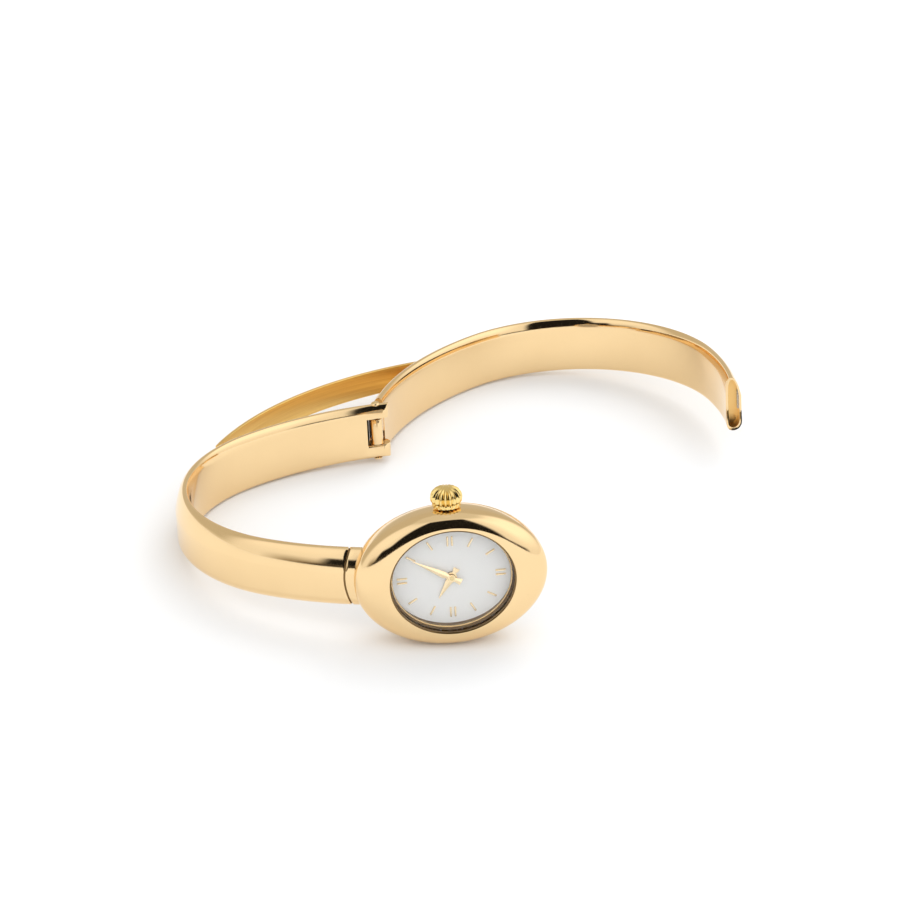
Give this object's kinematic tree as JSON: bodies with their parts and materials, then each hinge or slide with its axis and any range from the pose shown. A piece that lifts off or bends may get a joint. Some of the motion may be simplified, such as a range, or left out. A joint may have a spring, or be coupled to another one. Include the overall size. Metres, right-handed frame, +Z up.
{
  "type": "bangle watch",
  "caption": "Bangle wristwatch: a rigid oval band in two hinged halves, shown open, with a domed oval case, dial, hands and a fluted crown.",
  "frame": {"origin": "centre of the open watch's outline seen from above, on the table that it stands on", "axes": "+Z up from the table, -Y from the hinge towards the dial, +X to the wearer's right of the dial"},
  "size_m": [0.072, 0.071, 0.0189],
  "materials": {
    "gold_polished": "polished gold-tone plating",
    "gold_brushed": "brushed gold-tone plating",
    "gold_trim": "polished thin gold-tone trim",
    "plate_brass": "fine matt brass",
    "steel": "satin steel",
    "spring_steel": "blank spring steel",
    "cell_steel": "bright nickelled steel",
    "soft_iron": "grey soft iron",
    "magnet": "dark magnet on a steel arbor",
    "copper_wire": "enamelled copper wire",
    "crystal": "clear mineral glass",
    "seal_clear": "clear nylon seal",
    "seal": "black rubber",
    "dial_white": "satin white lacquer",
    "movement_plastic": "matt moulded plastic",
    "board_green": "green circuit board"
  },
  "bodies": {
    "fixed_band": {"fixed_half": "gold_polished", "hinge_pin": "gold_polished", "catch_tongue": "steel", "band_link": "gold_polished", "guard_bracket": "gold_polished", "guard_pin": "gold_polished", "case_body": "gold_polished", "link_screws": "steel", "case_cover": "steel", "cover_seal": "seal", "crystal": "crystal", "crystal_seal": "seal_clear", "dial_ring": "gold_polished", "dial": "dial_white", "hour_markers": "gold_trim", "main_plate": "plate_brass", "movement_ring": "movement_plastic", "train_bridge": "steel", "bridge_screws": "steel", "stator": "soft_iron", "coil_core": "soft_iron", "coil": "copper_wire", "battery": "cell_steel", "battery_strap": "spring_steel", "strap_screws": "steel", "circuit_board": "board_green", "quartz_can": "cell_steel", "stem_lever": "spring_steel", "crown_tube": "gold_polished"},
    "swing_band": {"swing_half": "gold_polished", "catch_leaf": "spring_steel"},
    "guard": {"hinge_guard": "gold_brushed"},
    "minute_train": {"minute_hand": "gold_trim", "centre_wheel": "plate_brass", "cannon_pinion": "steel"},
    "hour_train": {"hour_hand": "gold_trim", "hour_wheel": "plate_brass"},
    "setting_wheel": {"minute_wheel": "plate_brass"},
    "reduction_wheel": {"drive_wheel": "plate_brass"},
    "motor": {"rotor": "magnet"},
    "stem_drive": {"clutch_wheel": "steel"},
    "crown_unit": {"stem": "steel", "crown_seal": "seal", "crown": "gold_polished"}
  },
  "joints": [
    {"name": "band_swing", "type": "hinge", "parent": "fixed_band", "child": "swing_band", "pos_m": [-0.00955, 0.0112, 0.00427], "axis": [-0.071, 0.086, 0.9938], "range_deg": [-67.7, 0]},
    {"name": "guard_fold", "type": "hinge", "parent": "fixed_band", "child": "guard", "pos_m": [-0.03005, 0.00468, 0.00337], "axis": [-0.071, 0.086, 0.9938], "range_deg": [-27.5, 0]},
    {"name": "minute_turn", "type": "hinge", "parent": "fixed_band", "child": "minute_train", "pos_m": [-0.00617, -0.03153, 0.00821], "axis": [-0.0031, -0.9963, 0.086], "continuous": true},
    {"name": "hour_turn", "type": "hinge", "parent": "fixed_band", "child": "hour_train", "pos_m": [-0.00617, -0.03153, 0.00821], "axis": [-0.0031, -0.9963, 0.086], "continuous": true},
    {"name": "setting_turn", "type": "hinge", "parent": "fixed_band", "child": "setting_wheel", "pos_m": [-0.00424, -0.03159, 0.00766], "axis": [-0.0031, -0.9963, 0.086], "continuous": true},
    {"name": "reduction_turn", "type": "hinge", "parent": "fixed_band", "child": "reduction_wheel", "pos_m": [-0.00507, -0.03168, 0.00659], "axis": [-0.0031, -0.9963, 0.086], "continuous": true},
    {"name": "motor_turn", "type": "hinge", "parent": "fixed_band", "child": "motor", "pos_m": [-0.00339, -0.03167, 0.00671], "axis": [-0.0031, -0.9963, 0.086], "continuous": true},
    {"name": "crown_turn", "type": "hinge", "parent": "fixed_band", "child": "stem_drive", "pos_m": [-0.00617, -0.03203, 0.00825], "axis": [-0.071, 0.086, 0.9938], "continuous": true},
    {"name": "crown_pull", "type": "slide", "parent": "stem_drive", "child": "crown_unit", "axis": [-0.071, 0.086, 0.9938], "range_m": [0, 0.0008]}
  ],
  "couplings": [
    {"joint": "guard_fold", "follows": "band_swing", "ratio": 0.38},
    {"joint": "hour_turn", "follows": "minute_turn", "ratio": 0.083333},
    {"joint": "setting_turn", "follows": "minute_turn", "ratio": -0.33333},
    {"joint": "reduction_turn", "follows": "minute_turn", "ratio": -6},
    {"joint": "motor_turn", "follows": "minute_turn", "ratio": 30}
  ]
}
